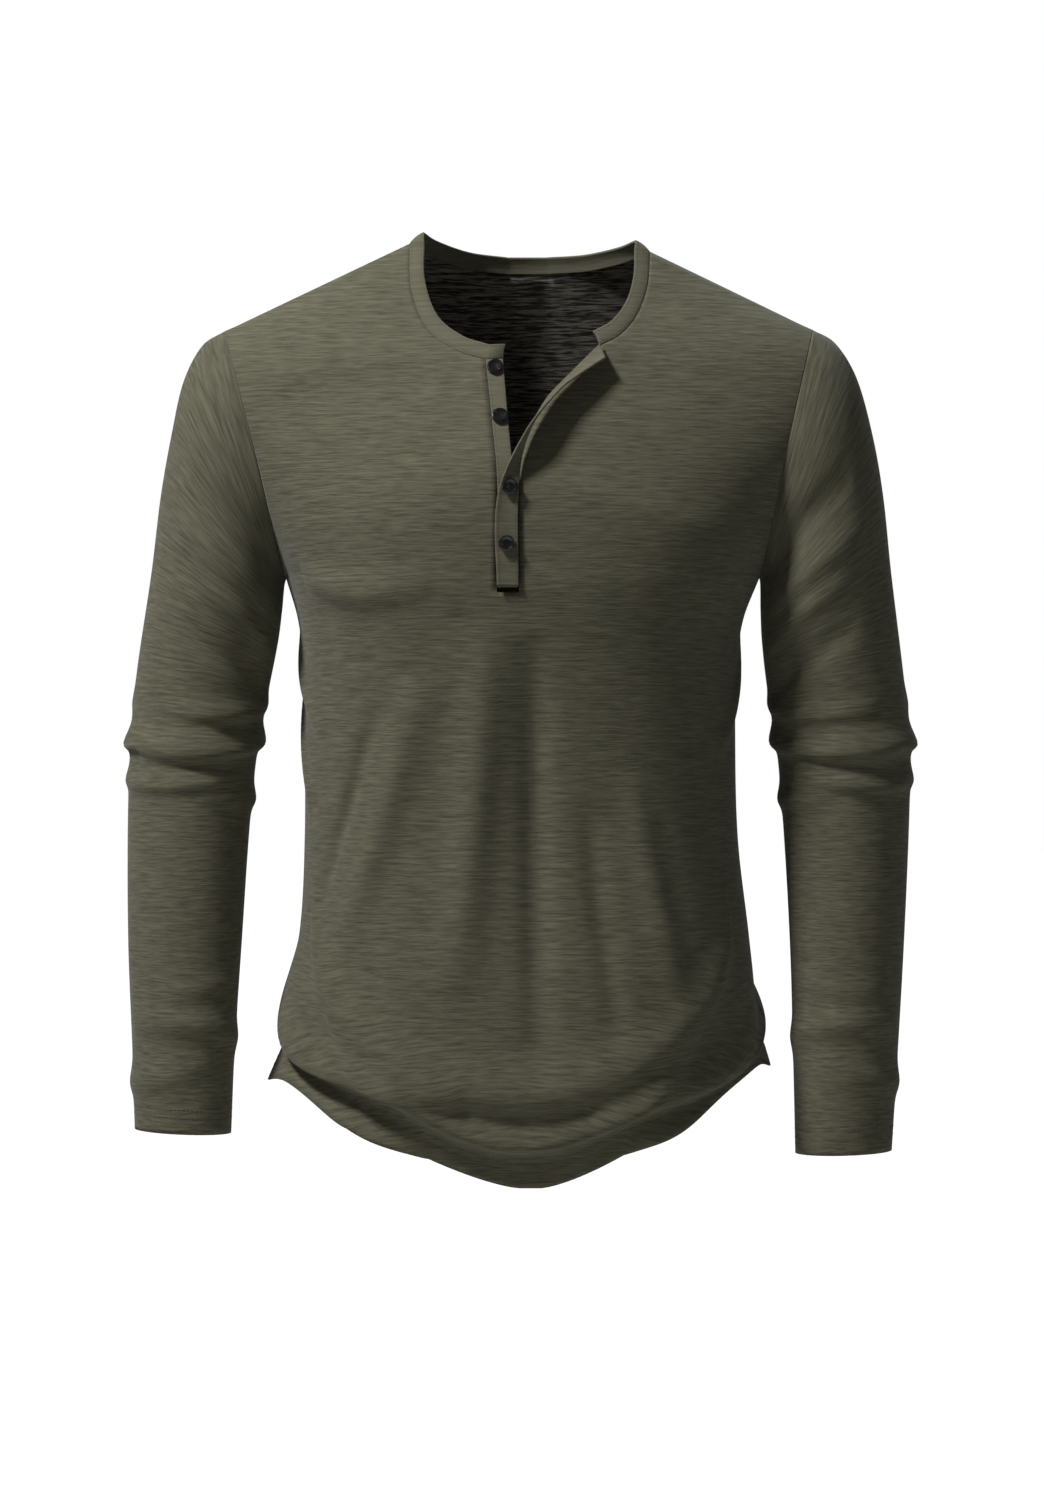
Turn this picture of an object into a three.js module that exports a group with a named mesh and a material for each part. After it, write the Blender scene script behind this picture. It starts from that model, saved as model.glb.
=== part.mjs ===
// A men's long-sleeved henley t-shirt in slub jersey, holding the shape it has when worn.
// Millimetres, +Z up. The wearer faces -Y, so +X is the wearer's left-hand side.
// The origin lies midway between the two high shoulder points, where the shoulders carry the shirt.
import * as THREE from 'three';

// ---- Driving dimensions ----------------------------------------------------------------------
const clothWall = 1.5;
const seamGap = 0.3;
const neckbandWidth = 13;
const placketWidth = 16;
const buttonDiameter = 12;
const buttonThickness = 3;
const buttonSeat = 0.6;
const underarmHeight = -254;
const placketFoot = -270;
const centreX = -13;
const sideSeamY = 4;

// Rows and columns of the cloth nets.
const bodyRows = 14;
const yokeRows = 10;
const frontColumns = 12;
const backColumns = 9;
const sleeveRows = 22;

// ---- Section tables --------------------------------------------------------------------------
// Body sections: height, how far front and back stand out, and the two side seams.
const bodySections = [
  { z: -700, front: -103, back: 104, right: -188, left: 178 },
  { z: -640, front: -112, back: 112, right: -186, left: 176 },
  { z: -600, front: -114, back: 112, right: -180, left: 172 },
  { z: -560, front: -112, back: 108, right: -180, left: 171 },
  { z: -520, front: -108, back: 102, right: -170, left: 167 },
  { z: -450, front: -104, back: 94, right: -166, left: 159 },
  { z: -380, front: -106, back: 93, right: -166, left: 157 },
  { z: -320, front: -111, back: 99, right: -167, left: 158 },
  { z: -285, front: -115, back: 104, right: -171, left: 163 },
  { z: -254, front: -118, back: 108, right: -180, left: 175 },
];

// The curved hem: how low its middle hangs, and its corners at the side seams.
const hem = { middleX: 3, middleZ: -699, rightZ: -617, leftZ: -606, backZ: -704, curve: 1.38 };

// The slit's two edges from the placket foot to the neckline corner. The wearer's left edge is
// drawn aside by the open upper half of the placket.
const slitTop = 0.6;
const slitEdge = {
  right: [
    { along: 0, x: -21, y: -117, z: -270 },
    { along: 0.25, x: -21, y: -114, z: -192 },
    { along: 0.45, x: -25.5, y: -92, z: -140 },
    { along: 0.6, x: -30, y: -68, z: -97 },
  ],
  left: [
    { along: 0, x: -5, y: -117, z: -270 },
    { along: 0.22, x: -5, y: -114, z: -194 },
    { along: 0.31, x: -1, y: -103, z: -164 },
    { along: 0.42, x: 14, y: -88, z: -131 },
    { along: 0.5, x: 32, y: -76, z: -110 },
    { along: 0.6, x: 54, y: -62, z: -86 },
  ],
};

// The neckline seam from each slit corner to the neck point, and on from the back's middle.
const frontNeckline = {
  right: [
    { along: 0.6, x: -30, y: -68, z: -97 },
    { along: 0.7, x: -52, y: -60, z: -89 },
    { along: 0.8, x: -73, y: -43, z: -71 },
    { along: 0.9, x: -85, y: -20, z: -39 },
    { along: 1, x: -87, y: 7, z: -2 },
  ],
  left: [
    { along: 0.6, x: 54, y: -62, z: -86 },
    { along: 0.7, x: 69, y: -53, z: -77 },
    { along: 0.8, x: 82, y: -38, z: -60 },
    { along: 0.9, x: 90, y: -17, z: -36 },
    { along: 1, x: 92.5, y: 6, z: -8 },
  ],
};
const backCentre = [
  { along: 0, x: -3, y: 108, z: -254 },
  { along: 0.25, x: -2, y: 118, z: -180 },
  { along: 0.5, x: 0, y: 102, z: -92 },
  { along: 0.7, x: 1, y: 69, z: -17 },
];
const backNeckline = {
  right: [
    { along: 0.7, x: -14, y: 69, z: -17 },
    { along: 0.8, x: -46, y: 59, z: -14 },
    { along: 0.9, x: -74, y: 37, z: -7 },
    { along: 1, x: -87, y: 7, z: -2 },
  ],
  left: [
    { along: 0.7, x: 16, y: 69, z: -17 },
    { along: 0.8, x: 48, y: 58, z: -16 },
    { along: 0.9, x: 77, y: 35, z: -12 },
    { along: 1, x: 92.5, y: 6, z: -8 },
  ],
};

// The free edges of the two placket strips. The over strip's upper half stands out from the
// chest and rolls back like a lapel.
const underFreeEdge = [
  { along: 0, x: -6, y: -117, z: -270 },
  { along: 0.25, x: -9, y: -114.5, z: -192 },
  { along: 0.45, x: -13.5, y: -93, z: -140 },
  { along: 0.6, x: -17, y: -70, z: -97 },
];
const overFreeEdge = [
  { along: 0, x: -21, y: -117.5, z: -270 },
  { along: 0.2, x: -20, y: -117, z: -199 },
  { along: 0.31, x: 1, y: -115, z: -154 },
  { along: 0.42, x: 24, y: -98, z: -124 },
  { along: 0.5, x: 37, y: -90, z: -113 },
  { along: 0.6, x: 58, y: -76, z: -98 },
];
const overStripLift = 3;
const overStripTop = 0.6;

// Buttons: the strip each is sewn on or through, and how far up the slit it sits.
const buttons = [
  { name: 'button_1', strip: 'under', along: 0.575 },
  { name: 'button_2', strip: 'under', along: 0.443 },
  { name: 'button_3', strip: 'over', along: 0.215 },
  { name: 'button_4', strip: 'over', along: 0.1 },
];

// Sleeve sections from the armhole to the cuff: the underarm line, the top line,
// the middle's place front to back, and how far the sleeve stands out front and back.
const rightSleeve = [
  { along: 0, innerX: -180, innerZ: -254, outerX: -226, outerZ: -68, y: 6, depth: 58 },
  { along: 0.05, innerX: -181, innerZ: -257, outerX: -243, outerZ: -79, y: 6, depth: 60 },
  { along: 0.11, innerX: -181.5, innerZ: -260, outerX: -257, outerZ: -106, y: 5, depth: 60 },
  { along: 0.18, innerX: -182, innerZ: -266, outerX: -266, outerZ: -146, y: 4, depth: 58 },
  { along: 0.26, innerX: -183, innerZ: -278, outerX: -274, outerZ: -192, y: 3, depth: 55 },
  { along: 0.35, innerX: -186, innerZ: -302, outerX: -281, outerZ: -250, y: 2, depth: 52 },
  { along: 0.45, innerX: -193, innerZ: -338, outerX: -292, outerZ: -325, y: 1, depth: 48 },
  { along: 0.52, innerX: -200, innerZ: -374, outerX: -296, outerZ: -372, y: 0, depth: 46 },
  { along: 0.62, innerX: -206, innerZ: -430, outerX: -298, outerZ: -430, y: -4, depth: 44 },
  { along: 0.78, innerX: -212, innerZ: -525, outerX: -297, outerZ: -525, y: -12, depth: 40 },
  { along: 0.92, innerX: -217, innerZ: -610, outerX: -293, outerZ: -610, y: -19, depth: 35 },
  { along: 1, innerX: -219, innerZ: -667, outerX: -291, outerZ: -664, y: -23, depth: 32 },
];
const leftSleeve = [
  { along: 0, innerX: 175.5, innerZ: -254, outerX: 215, outerZ: -67, y: 6, depth: 58 },
  { along: 0.05, innerX: 176, innerZ: -257, outerX: 232, outerZ: -77, y: 6, depth: 60 },
  { along: 0.11, innerX: 176, innerZ: -260, outerX: 248, outerZ: -103, y: 5, depth: 60 },
  { along: 0.18, innerX: 176, innerZ: -266, outerX: 260, outerZ: -146, y: 4, depth: 58 },
  { along: 0.26, innerX: 176, innerZ: -278, outerX: 268, outerZ: -192, y: 3, depth: 55 },
  { along: 0.35, innerX: 177, innerZ: -302, outerX: 274, outerZ: -250, y: 2, depth: 52 },
  { along: 0.45, innerX: 181, innerZ: -338, outerX: 283, outerZ: -325, y: 1, depth: 48 },
  { along: 0.52, innerX: 187, innerZ: -374, outerX: 288, outerZ: -374, y: 0, depth: 46 },
  { along: 0.62, innerX: 192, innerZ: -432, outerX: 287, outerZ: -432, y: -4, depth: 44 },
  { along: 0.78, innerX: 197, innerZ: -530, outerX: 282, outerZ: -530, y: -12, depth: 40 },
  { along: 0.92, innerX: 199, innerZ: -622, outerX: 276, outerZ: -622, y: -19, depth: 35 },
  { along: 1, innerX: 200, innerZ: -682, outerX: 272, outerZ: -680, y: -23, depth: 32 },
];

// ---- Largest folds ---------------------------------------------------------------------------
// Each runs between two places given by the angle round the body from its centre front
// (degrees, + to the wearer's left) and the height. sag drops its middle, lift is its height
// (a trough is negative), and lip pushes its crest down over the cloth below.
const bodyFolds = [
  { from: -135, fromZ: -528, to: -22, toZ: -622, sag: 10, width: 16, lift: 12, lip: 8 },
  { from: -140, fromZ: -572, to: -30, toZ: -655, sag: 6, width: 15, lift: 11, lip: 8 },
  { from: -110, fromZ: -552, to: -35, toZ: -640, sag: 4, width: 10, lift: -5, lip: 0 },
  { from: 138, fromZ: -518, to: 25, toZ: -628, sag: 14, width: 15, lift: 11, lip: 8 },
  { from: 128, fromZ: -562, to: 34, toZ: -646, sag: 8, width: 16, lift: 12, lip: 8 },
  { from: 110, fromZ: -542, to: 30, toZ: -632, sag: 8, width: 10, lift: -5, lip: 0 },
  { from: -60, fromZ: -520, to: 60, toZ: -520, sag: 105, width: 22, lift: 9, lip: 6 },
  { from: -8, fromZ: -290, to: -16, toZ: -540, sag: 0, width: 16, lift: 8, lip: 0 },
  { from: 3, fromZ: -300, to: 4, toZ: -600, sag: 0, width: 13, lift: -6, lip: 0 },
  { from: -24, fromZ: -340, to: -46, toZ: -520, sag: 0, width: 16, lift: 4, lip: 0 },
  { from: 196, fromZ: -500, to: 120, toZ: -540, sag: 30, width: 16, lift: 6, lip: 4 },
  { from: -214, fromZ: -560, to: -125, toZ: -600, sag: 24, width: 16, lift: 6, lip: 4 },
];

// Sleeve folds: angle round the sleeve (0 at its outer line, 90 at the front) and height.
const sleeveFolds = [
  { from: 60, fromZ: -180, to: 178, toZ: -262, sag: 0, width: 13, lift: -5, lip: 0 },
  { from: 50, fromZ: -215, to: 170, toZ: -290, sag: 0, width: 13, lift: 5, lip: 0 },
  { from: 70, fromZ: -290, to: 185, toZ: -352, sag: 0, width: 10, lift: -4, lip: 2 },
  { from: -70, fromZ: -366, to: 120, toZ: -374, sag: 4, width: 10, lift: 6, lip: 4 },
  { from: 40, fromZ: -384, to: 230, toZ: -362, sag: 6, width: 10, lift: 6, lip: 4 },
  { from: -20, fromZ: -398, to: 150, toZ: -400, sag: 8, width: 9, lift: 4, lip: 3 },
  { from: 20, fromZ: -585, to: 200, toZ: -600, sag: -8, width: 12, lift: 4, lip: 2 },
  { from: -40, fromZ: -625, to: 130, toZ: -612, sag: 8, width: 12, lift: 3, lip: 2 },
];

// ---- Finishes --------------------------------------------------------------------------------
const jersey = new THREE.MeshStandardMaterial({ color: 0x55533f, roughness: 0.9, metalness: 0 });
const trimJersey = new THREE.MeshStandardMaterial({ color: 0x5e5c47, roughness: 0.85, metalness: 0 });
const blackResin = new THREE.MeshStandardMaterial({ color: 0x0c0c0d, roughness: 0.25, metalness: 0 });

// ---- Helpers ---------------------------------------------------------------------------------
const vector = (x, y, z) => new THREE.Vector3(x, y, z);
const mix = (a, b, t) => a + (b - a) * t;
const radians = (degrees) => degrees * Math.PI / 180;

// Smooth interpolation of one column of a table, by the finite-difference cubic.
function column(table, key, at, name) {
  const rising = table[table.length - 1][key] > table[0][key];
  const rows = rising ? table : [...table].reverse();
  const last = rows.length - 1;
  let i = 0;
  while (i < last - 1 && rows[i + 1][key] < at) i += 1;
  const slope = (j) => {
    const before = rows[Math.max(j - 1, 0)];
    const after = rows[Math.min(j + 1, last)];
    return (after[name] - before[name]) / (after[key] - before[key]);
  };
  const step = rows[i + 1][key] - rows[i][key];
  const t = THREE.MathUtils.clamp((at - rows[i][key]) / step, 0, 1);
  const h = [2 * t ** 3 - 3 * t ** 2 + 1, t ** 3 - 2 * t ** 2 + t, 3 * t ** 2 - 2 * t ** 3, t ** 3 - t ** 2];
  return h[0] * rows[i][name] + h[1] * step * slope(i) + h[2] * rows[i + 1][name] + h[3] * step * slope(i + 1);
}

const pointOn = (table, at) => vector(...['x', 'y', 'z'].map((name) => column(table, 'along', at, name)));

// How strongly a fold acts at a place (angle, height), and on which side of its crest it lies.
function foldAt(fold, angle, z, girthPerDegree) {
  const t = (angle - fold.from) / (fold.to - fold.from);
  if (t <= 0 || t >= 1) return { height: 0, push: 0 };
  const crest = mix(fold.fromZ, fold.toZ, t) - fold.sag * 4 * t * (1 - t);
  const run = Math.abs(fold.to - fold.from) * girthPerDegree;
  const steep = Math.hypot(run, fold.toZ - fold.fromZ) / run;
  const across = (z - crest) / (fold.width * steep);
  const taper = Math.sin(Math.PI * t) ** 0.6;
  const height = Math.exp(-across * across) * taper;
  return { height: fold.lift * height, push: fold.lip * height };
}

// A fold that runs up and down is measured across its angle instead.
function uprightFoldAt(fold, angle, z, girthPerDegree) {
  const t = (z - fold.fromZ) / (fold.toZ - fold.fromZ);
  if (t <= 0 || t >= 1) return { height: 0, push: 0 };
  const across = (angle - mix(fold.from, fold.to, t)) * girthPerDegree / fold.width;
  const taper = Math.sin(Math.PI * t) ** 0.6;
  return { height: fold.lift * Math.exp(-across * across) * taper, push: 0 };
}

function folded(point, outward, folds, angle, girthPerDegree) {
  const moved = point.clone();
  for (const fold of folds) {
    const upright = Math.abs(fold.toZ - fold.fromZ) > Math.abs(fold.to - fold.from) * girthPerDegree * 2;
    const act = (upright ? uprightFoldAt : foldAt)(fold, angle, point.z, girthPerDegree);
    moved.addScaledVector(outward, act.height);
    moved.z -= act.push;
  }
  return moved;
}

// A closed wall of cloth from a net of points on its outer face. net[row][column] are points,
// faces is a test of which cells are cloth, and closed joins the last column to the first.
// mitre turns the wall's direction at a seam into the seam's own plane, so that both sides clear.
function clothWallOf(net, { wall = clothWall, closed = false, faces = () => true, mitre } = {}) {
  const rows = net.length;
  const columns = net[0].length;
  const index = (r, c) => r * columns + (c % columns);
  const quads = [];
  for (let r = 0; r < rows - 1; r += 1) {
    for (let c = 0; c < (closed ? columns : columns - 1); c += 1) {
      if (faces(r, c)) quads.push([index(r, c), index(r, c + 1), index(r + 1, c + 1), index(r + 1, c)]);
    }
  }
  const outer = net.flat();
  const normals = outer.map(() => vector(0, 0, 0));
  for (const quad of quads) {
    const [a, b, c, d] = quad.map((i) => outer[i]);
    const normal = c.clone().sub(a).cross(d.clone().sub(b)).normalize();
    for (const i of quad) normals[i].add(normal);
  }
  const inner = outer.map((point, i) => {
    if (mitre) mitre(normals[i], Math.floor(i / columns), i % columns);
    return point.clone().addScaledVector(normals[i].normalize(), -wall);
  });
  const triangles = [];
  const edges = new Map();
  for (const [a, b, c, d] of quads) {
    triangles.push([a, b, c], [a, c, d]);
    const shift = outer.length;
    triangles.push([a + shift, c + shift, b + shift], [a + shift, d + shift, c + shift]);
    for (const [p, q] of [[a, b], [b, c], [c, d], [d, a]]) {
      if (edges.has(`${q},${p}`)) edges.delete(`${q},${p}`);
      else edges.set(`${p},${q}`, [p, q]);
    }
  }
  for (const [p, q] of edges.values()) {
    const shift = outer.length;
    triangles.push([p, p + shift, q + shift], [p, q + shift, q]);
  }
  return meshGeometry([...outer, ...inner], triangles);
}

// Only the points that some triangle uses are kept.
function meshGeometry(points, triangles) {
  const used = [...new Set(triangles.flat())];
  const place = new Map(used.map((old, i) => [old, i]));
  const geometry = new THREE.BufferGeometry();
  const positions = used.flatMap((i) => points[i].toArray());
  geometry.setAttribute('position', new THREE.Float32BufferAttribute(positions, 3));
  geometry.setIndex(triangles.flat().map((i) => place.get(i)));
  geometry.computeVertexNormals();
  return geometry;
}

const garment = new THREE.Group();
function addPiece(name, geometry, material) {
  const mesh = new THREE.Mesh(geometry, material);
  mesh.name = name;
  garment.add(mesh);
  return mesh;
}

// ---- Body ------------------------------------------------------------------------------------
// Heights of the body rows, closer together in the folds above the hem.
const bodyRowShare = (row) => {
  const t = row / bodyRows;
  return t < 0.6 ? t * 0.72 : mix(0.432, 1, (t - 0.6) / 0.4);
};

// Where the sleeve's armhole edge is at a share of its way up, on the front or the back half.
function armholePoint(sleeve, up, facing) {
  return sleevePoint(sleeve, 0, facing * 180 * (1 - up), 0);
}

// A section of the body between its centre and its side: a flattened quarter round that opens
// out into the sleeve above the underarm. reach is how far round the quarter it goes.
function sectionPoint(centre, side, share, reach, heightCurve) {
  const angle = radians(reach) * share;
  const flat = 0.86;
  const across = Math.sin(angle) / Math.sin(radians(reach));
  const back = (1 - Math.cos(angle)) / (1 - Math.cos(radians(reach)));
  const x = mix(centre.x, side.x, across ** flat);
  const y = mix(centre.y, side.y, back ** (1 / flat));
  const z = mix(centre.z, side.z, Math.abs(across ** flat) ** heightCurve);
  return vector(x, y, z);
}

const backStripWidth = 30;
const backNeckStart = 0.7;
const girthPerDegree = 2.75;
const bodyCentreX = -3;
function bodyFolded(point) {
  const angle = THREE.MathUtils.radToDeg(Math.atan2((point.x - bodyCentreX) / 172, -point.y / 112));
  const outward = vector((point.x - bodyCentreX) / 172 ** 2, point.y / 112 ** 2, 0).normalize();
  let moved = folded(point, outward, bodyFolds, angle, girthPerDegree);
  const around = angle > 0 ? angle - 360 : angle + 360;
  const second = folded(point, outward, bodyFolds, around, girthPerDegree).sub(point);
  moved = moved.add(second);
  return moved;
}

// One half of the front or back panel as a net of points, from the hem to the shoulder seam.
// side is 'right' or 'left' of the wearer, facing is 1 at the front and -1 at the back.
function halfPanel({ side, facing, columns, innerEdge, centreLine }) {
  const sleeve = side === 'right' ? rightSleeve : leftSleeve;
  const sign = side === 'right' ? -1 : 1;
  const hemZ = side === 'right' ? hem.rightZ : hem.leftZ;
  const net = [];
  for (let row = 0; row <= bodyRows + yokeRows; row += 1) {
    const inBody = row <= bodyRows;
    const up = inBody ? bodyRowShare(row) : (row - bodyRows) / yokeRows;
    const centre = inBody ? centreLine(up, side) : innerEdge(up, side);
    let outside;
    if (inBody) {
      const z = mix(hemZ, underarmHeight, up);
      outside = vector(column(bodySections, 'z', z, side), sideSeamY, z);
    } else {
      outside = armholePoint(sleeve, up, facing);
    }
    const reach = inBody ? 90 : mix(90, 46, up ** 0.8);
    const heightCurve = inBody ? mix(hem.curve, 1.1, up) : 1;
    const points = [];
    for (let c = 0; c <= columns; c += 1) {
      const share = c / columns;
      points.push(sectionPoint(centre, outside, share, reach, heightCurve));
    }
    const last = points[columns];
    last.x -= inBody ? 0 : sign * seamGap;
    last.y -= facing * (inBody ? seamGap / 2 : 0);
    net.push(points);
  }
  for (const point of net[net.length - 1]) point.y -= facing * seamGap / 2;
  return net.map((points) => points.map((point) => bodyFolded(point)));
}

const frontCentre = (up, side) => {
  const z = mix(hem.middleZ, placketFoot, up);
  const half = (side === 'right' ? -1 : 1) * placketWidth / 2;
  return vector(mix(hem.middleX, centreX, up) + half, column(bodySections, 'z', z, 'front'), z);
};
const frontEdge = (up, side) => pointOn((up <= slitTop ? slitEdge : frontNeckline)[side], up);
const backMiddle = (up, side) => {
  const z = mix(hem.backZ, underarmHeight, up);
  const half = (side === 'right' ? -1 : 1) * backStripWidth / 2;
  return vector(mix(bodyCentreX, backCentre[0].x, up) + half, column(bodySections, 'z', z, 'back'), z);
};
const backEdge = (up, side) => {
  if (up >= backNeckStart) return pointOn(backNeckline[side], up);
  const half = (side === 'right' ? -1 : 1) * backStripWidth / 2;
  return pointOn(backCentre, up).add(vector(half, 0, 0));
};

// The direction across an armhole's plane, which its wall keeps out of.
function armholeAxis(sleeve) {
  const start = sleeve[0];
  return vector(start.outerZ - start.innerZ, 0, start.innerX - start.outerX).normalize();
}

// At the side, shoulder and armhole seams of a panel with so many columns on each side.
const panelMitre = (lastColumn, firstSleeve, lastSleeve) => (normal, row, c) => {
  if (c !== 0 && c !== lastColumn && row !== bodyRows + yokeRows) return;
  const sleeve = c === 0 ? firstSleeve : lastSleeve;
  if (row > bodyRows && (c === 0 || c === lastColumn)) {
    const axis = armholeAxis(sleeve);
    normal.addScaledVector(axis, -normal.dot(axis));
  }
  if (row <= bodyRows || row === bodyRows + yokeRows) normal.y = 0;
};

// Two halves joined at the middle. The strip between them stops at the slit or the neckline.
function joinHalves(firstNet, secondNet) {
  return firstNet.map((points, row) => [...[...points].reverse(), ...secondNet[row]]);
}

const frontHalf = (side) => halfPanel({
  side, facing: 1, columns: frontColumns, innerEdge: frontEdge, centreLine: frontCentre });
const frontNet = joinHalves(frontHalf('right'), frontHalf('left'));
const isFrontCloth = (row, c) => c !== frontColumns || row < bodyRows;
const frontMitre = panelMitre(2 * frontColumns + 1, rightSleeve, leftSleeve);
addPiece('front', clothWallOf(frontNet, { faces: isFrontCloth, mitre: frontMitre }), jersey);

const backHalf = (side) => halfPanel({
  side, facing: -1, columns: backColumns, innerEdge: backEdge, centreLine: backMiddle });
const backNet = joinHalves(backHalf('left'), backHalf('right'));
const isBackCloth = (row, c) => c !== backColumns || row < bodyRows + yokeRows * backNeckStart;
const backMitre = panelMitre(2 * backColumns + 1, leftSleeve, rightSleeve);
addPiece('back', clothWallOf(backNet, { faces: isBackCloth, mitre: backMitre }), jersey);

// ---- Sleeves ---------------------------------------------------------------------------------
// A place on a sleeve: along from armhole to cuff, and the angle round it, 0 at the outer line,
// 90 at the front and 180 at the underarm.
function sleevePoint(sleeve, along, angle, gap) {
  const get = (name) => column(sleeve, 'along', along, name);
  const inner = vector(get('innerX'), get('y') - 2, get('innerZ'));
  const outer = vector(get('outerX'), get('y') + 2, get('outerZ'));
  const middle = inner.clone().add(outer).multiplyScalar(0.5);
  const half = outer.clone().sub(inner).multiplyScalar(0.5);
  const turn = radians(angle);
  const point = middle.clone().addScaledVector(half, Math.cos(turn));
  point.y -= get('depth') * Math.sin(turn);
  const bow = 3 * Math.sin(turn) ** 2 * Math.max(0, 1 - along * 8);
  point.x -= Math.sign(inner.x) * (bow - gap);
  return point;
}

const aroundSleeve = yokeRows * 2;
function sleeveNet(sleeve) {
  const net = [];
  for (let row = 0; row <= sleeveRows; row += 1) {
    const along = row / sleeveRows;
    const ring = [];
    for (let c = 0; c < aroundSleeve; c += 1) {
      const angle = 360 * c / aroundSleeve;
      const point = sleevePoint(sleeve, along, angle, seamGap / 2);
      const axis = sleevePoint(sleeve, along, 0, 0).add(sleevePoint(sleeve, along, 180, 0)).multiplyScalar(0.5);
      const outward = point.clone().sub(axis).normalize();
      const fade = THREE.MathUtils.smoothstep(along, 0.02, 0.2);
      const moved = folded(point, outward, sleeveFolds, angle > 240 ? angle - 360 : angle, 0.85);
      ring.push(point.clone().lerp(moved, fade));
    }
    net.push(ring);
  }
  return net;
}
const sleeveMitre = (sleeve) => (normal, row) => {
  if (row !== 0) return;
  const axis = armholeAxis(sleeve);
  normal.addScaledVector(axis, -normal.dot(axis));
};
const rightRings = sleeveNet(rightSleeve).map((ring) => [...ring].reverse());
const rightWall = clothWallOf(rightRings, { closed: true, mitre: sleeveMitre(rightSleeve) });
const leftWall = clothWallOf(sleeveNet(leftSleeve), { closed: true, mitre: sleeveMitre(leftSleeve) });
addPiece('sleeve_right', rightWall, jersey);
addPiece('sleeve_left', leftWall, jersey);

// ---- Neckband --------------------------------------------------------------------------------
// The band runs from the button side's front end, round the back, to the turned-out end. It lies
// along the chest in front, leans in at the sides of the neck and stands up behind.
const trimWall = 2;
const yokeShares = (from, to) => {
  const shares = [];
  for (let i = Math.round(from * yokeRows); i <= Math.round(to * yokeRows); i += 1) shares.push(i / yokeRows);
  return shares;
};
const seamPath = [
  pointOn(underFreeEdge, slitTop),
  ...yokeShares(slitTop, 1).map((up) => frontEdge(up, 'right')),
  ...yokeShares(backNeckStart, 0.9).reverse().map((up) => backEdge(up, 'right')),
  ...yokeShares(backNeckStart, 0.9).map((up) => backEdge(up, 'left')),
  ...yokeShares(slitTop, 1).reverse().map((up) => frontEdge(up, 'left')),
].reverse();

function bandDirection(point) {
  const outward = vector(point.x, point.y, 0).normalize();
  const lean = outward.y < 0 ? mix(0.82, 0.5, -outward.y) : mix(0.82, 0.25, outward.y);
  return outward.multiplyScalar(-lean).setZ(Math.sqrt(1 - lean * lean));
}
const bandRows = 2;
const bandNet = [];
for (let row = 0; row <= bandRows; row += 1) {
  const rise = mix(seamGap, neckbandWidth, row / bandRows);
  bandNet.push(seamPath.map((point) => point.clone().addScaledVector(bandDirection(point), rise)));
}
const bandMitre = (normal, row, c) => {
  if (row === 0 && c > 0) normal.addScaledVector(bandDirection(seamPath[c]), -normal.dot(bandDirection(seamPath[c])));
};
addPiece('neckband', clothWallOf(bandNet, { wall: trimWall, mitre: bandMitre }), trimJersey);

// ---- Placket strips --------------------------------------------------------------------------
// A strip between its seam edge and its free edge, moved out from the cloth it lies on.
const stripRows = 12;
const stripFoot = 0.012;
const stripColumns = 3;
function stripNet(seamEdge, freeEdge, { top, lift, bow, seamClear }) {
  const net = [];
  for (let row = 0; row <= stripRows; row += 1) {
    const along = mix(stripFoot, top, row / stripRows);
    const seam = pointOn(seamEdge, along);
    const free = pointOn(freeEdge, along);
    const across = free.clone().sub(seam).normalize();
    seam.addScaledVector(across, seamClear);
    const points = [];
    for (let c = 0; c <= stripColumns; c += 1) {
      const share = c / stripColumns;
      const point = seam.clone().lerp(free, share);
      point.y -= lift + bow * along * 4 * share * (1 - share);
      points.push(point);
    }
    net.push(points);
  }
  return net;
}
const underNet = stripNet(slitEdge.right, underFreeEdge, { top: slitTop - 0.005, lift: 0, bow: 0, seamClear: 0.9 });
const overShape = { top: overStripTop, lift: overStripLift, bow: -3, seamClear: 0.4 };
const overNet = stripNet(slitEdge.left, overFreeEdge, overShape).map((points) => [...points].reverse());
addPiece('placket_under', clothWallOf(underNet, { wall: clothWall }), trimJersey);
addPiece('placket_over', clothWallOf(overNet, { wall: clothWall }), trimJersey);

// ---- Buttons ---------------------------------------------------------------------------------
// Turned resin buttons with a raised rim round a shallow dish.
function buttonGeometry() {
  const radius = buttonDiameter / 2;
  const half = buttonThickness / 2;
  const profile = [
    [0, -half], [radius - 1.2, -half], [radius, -0.3], [radius - 0.2, half - 0.4],
    [radius - 1.2, half], [radius - 2, half - 0.4], [radius - 3, half - 0.9], [0, half - 1.1],
  ];
  return new THREE.LatheGeometry(profile.map(([x, y]) => new THREE.Vector2(x, y)), 16);
}

// A strip's surface at a share of its height, with the direction it faces.
function stripPlace(net, top, along) {
  const at = (along - stripFoot) / (top - stripFoot) * stripRows;
  const row = Math.min(Math.floor(at), stripRows - 1);
  const share = at - row;
  const low = net[row][1].clone().lerp(net[row][2], 0.5);
  const high = net[row + 1][1].clone().lerp(net[row + 1][2], 0.5);
  const across = net[row][stripColumns].clone().sub(net[row][0]);
  return { point: low.clone().lerp(high, share), normal: across.cross(high.clone().sub(low)).normalize() };
}
for (const { name, strip, along } of buttons) {
  const net = strip === 'under' ? underNet : overNet;
  const { point, normal } = stripPlace(net, strip === 'under' ? slitTop - 0.005 : overStripTop, along);
  const button = addPiece(name, buttonGeometry(), blackResin);
  button.quaternion.setFromUnitVectors(vector(0, 1, 0), normal);
  button.position.copy(point).addScaledVector(normal, buttonThickness / 2 + buttonSeat);
}

export default garment;
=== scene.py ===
import math

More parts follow.
